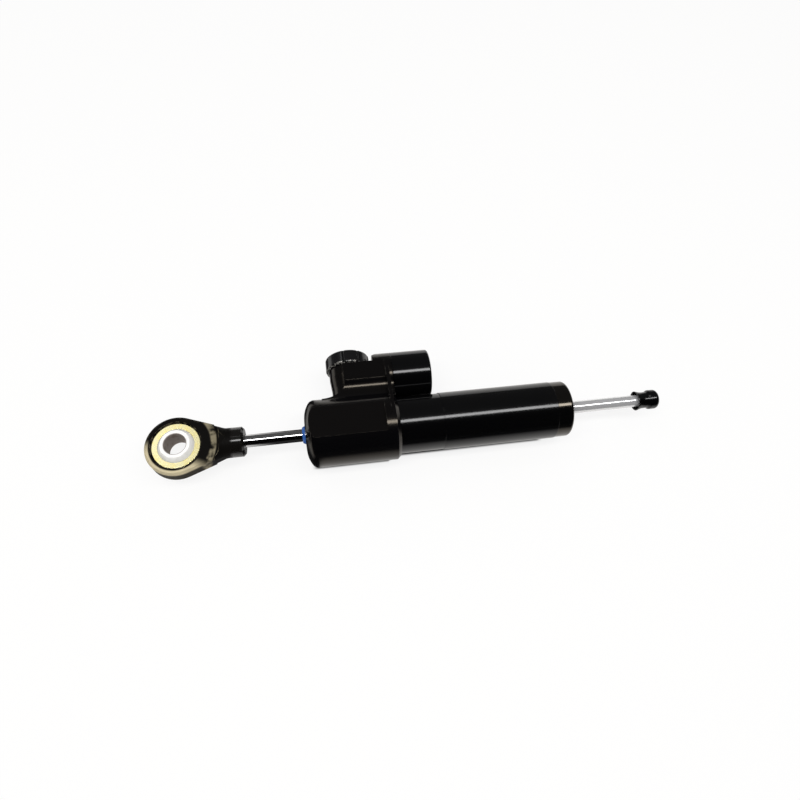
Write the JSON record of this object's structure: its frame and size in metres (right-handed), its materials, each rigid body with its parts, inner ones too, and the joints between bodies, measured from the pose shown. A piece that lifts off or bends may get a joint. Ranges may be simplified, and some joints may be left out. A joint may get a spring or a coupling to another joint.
{
  "type": "linear steering damper",
  "caption": "Through-rod hydraulic steering damper with a spherical eye bearing on the rod end, a click adjuster knob and a small side chamber on its head block.",
  "frame": {"origin": "centre of the eye bearing at the end of the rod", "axes": "+X along the rod towards its free end, +Z along the bore of the eye, +Y towards the adjuster knob and the side chamber"},
  "size_m": [0.2523, 0.0552, 0.0324],
  "materials": {
    "black_anodised": "satin black anodised",
    "black_tube": "gloss black anodised",
    "black_knob": "matt black anodised",
    "worn_black_end": "black anodised with worn khaki grey edges",
    "black_stop": "gloss black",
    "chromed_rod": "ground and polished",
    "polished_ball": "polished bearing steel",
    "yellow_plated_ring": "yellow plated",
    "ground_steel": "ground",
    "dark_steel": "blackened",
    "spring_steel": "drawn",
    "bronze": "turned bronze",
    "plain_aluminium": "turned",
    "blue_seal": "moulded blue",
    "black_rubber": "moulded",
    "slide_band": "filled sliding plastic"
  },
  "bodies": {
    "damper_body": {"head_block": "black_anodised", "damper_tube": "black_tube", "cylinder_liner": "ground_steel", "tube_end_cap": "black_tube", "head_wiper_seal": "blue_seal", "cap_wiper_seal": "blue_seal", "head_rod_seal": "black_rubber", "cap_rod_seal": "black_rubber", "head_guide_bush": "bronze", "cap_guide_bush": "bronze", "gland_clips": "spring_steel", "static_o_rings": "black_rubber", "chamber_cap": "black_anodised", "bleed_screw": "dark_steel", "chamber_spring": "spring_steel", "adjuster_bushing": "bronze", "adjuster_o_rings": "black_rubber", "needle_key_pin": "ground_steel", "detent_ball": "ground_steel", "detent_spring": "spring_steel"},
    "adjuster": {"adjuster_spindle": "ground_steel", "adjuster_knob": "black_knob", "knob_screw": "dark_steel"},
    "needle": {"adjuster_needle": "ground_steel"},
    "compensator": {"floating_piston": "plain_aluminium", "floating_piston_ring": "black_rubber"},
    "sliding_band": {"piston_band": "slide_band"},
    "rod": {"damping_piston": "plain_aluminium", "piston_clips": "spring_steel", "through_rod": "chromed_rod", "free_end_stop": "black_stop", "rod_end_housing": "worn_black_end", "rod_lock_screw": "dark_steel", "bearing_outer_ring": "yellow_plated_ring"},
    "eye_ball": {"bearing_ball": "polished_ball"}
  },
  "joints": [
    {"name": "rod_slide", "type": "slide", "parent": "damper_body", "child": "sliding_band", "axis": [1, 0, 0], "range_m": [-0.036, 0.0265]},
    {"name": "rod_turn", "type": "hinge", "parent": "sliding_band", "child": "rod", "pos_m": [0.12755, 0, 0], "axis": [1, 0, 0], "continuous": true},
    {"name": "eye_swivel", "type": "hinge", "parent": "rod", "child": "eye_ball", "pos_m": [0, 0, 0], "axis": [0, 0, 1], "continuous": true},
    {"name": "knob_turn", "type": "hinge", "parent": "damper_body", "child": "adjuster", "pos_m": [0.0829, 0.0352, 0], "axis": [0, 1, 0], "range_deg": [-180, 180]},
    {"name": "needle_slide", "type": "slide", "parent": "damper_body", "child": "needle", "axis": [0, 1, 0], "range_m": [-0.00038, 0.00038]},
    {"name": "compensator_slide", "type": "slide", "parent": "damper_body", "child": "compensator", "axis": [1, 0, 0], "range_m": [-0.0012, 0.003], "stiffness_N_per_m": 2000, "deforming": ["chamber_spring"]}
  ],
  "couplings": [
    {"joint": "needle_slide", "follows": "knob_turn", "m_per_rad": 0.00011937}
  ]
}
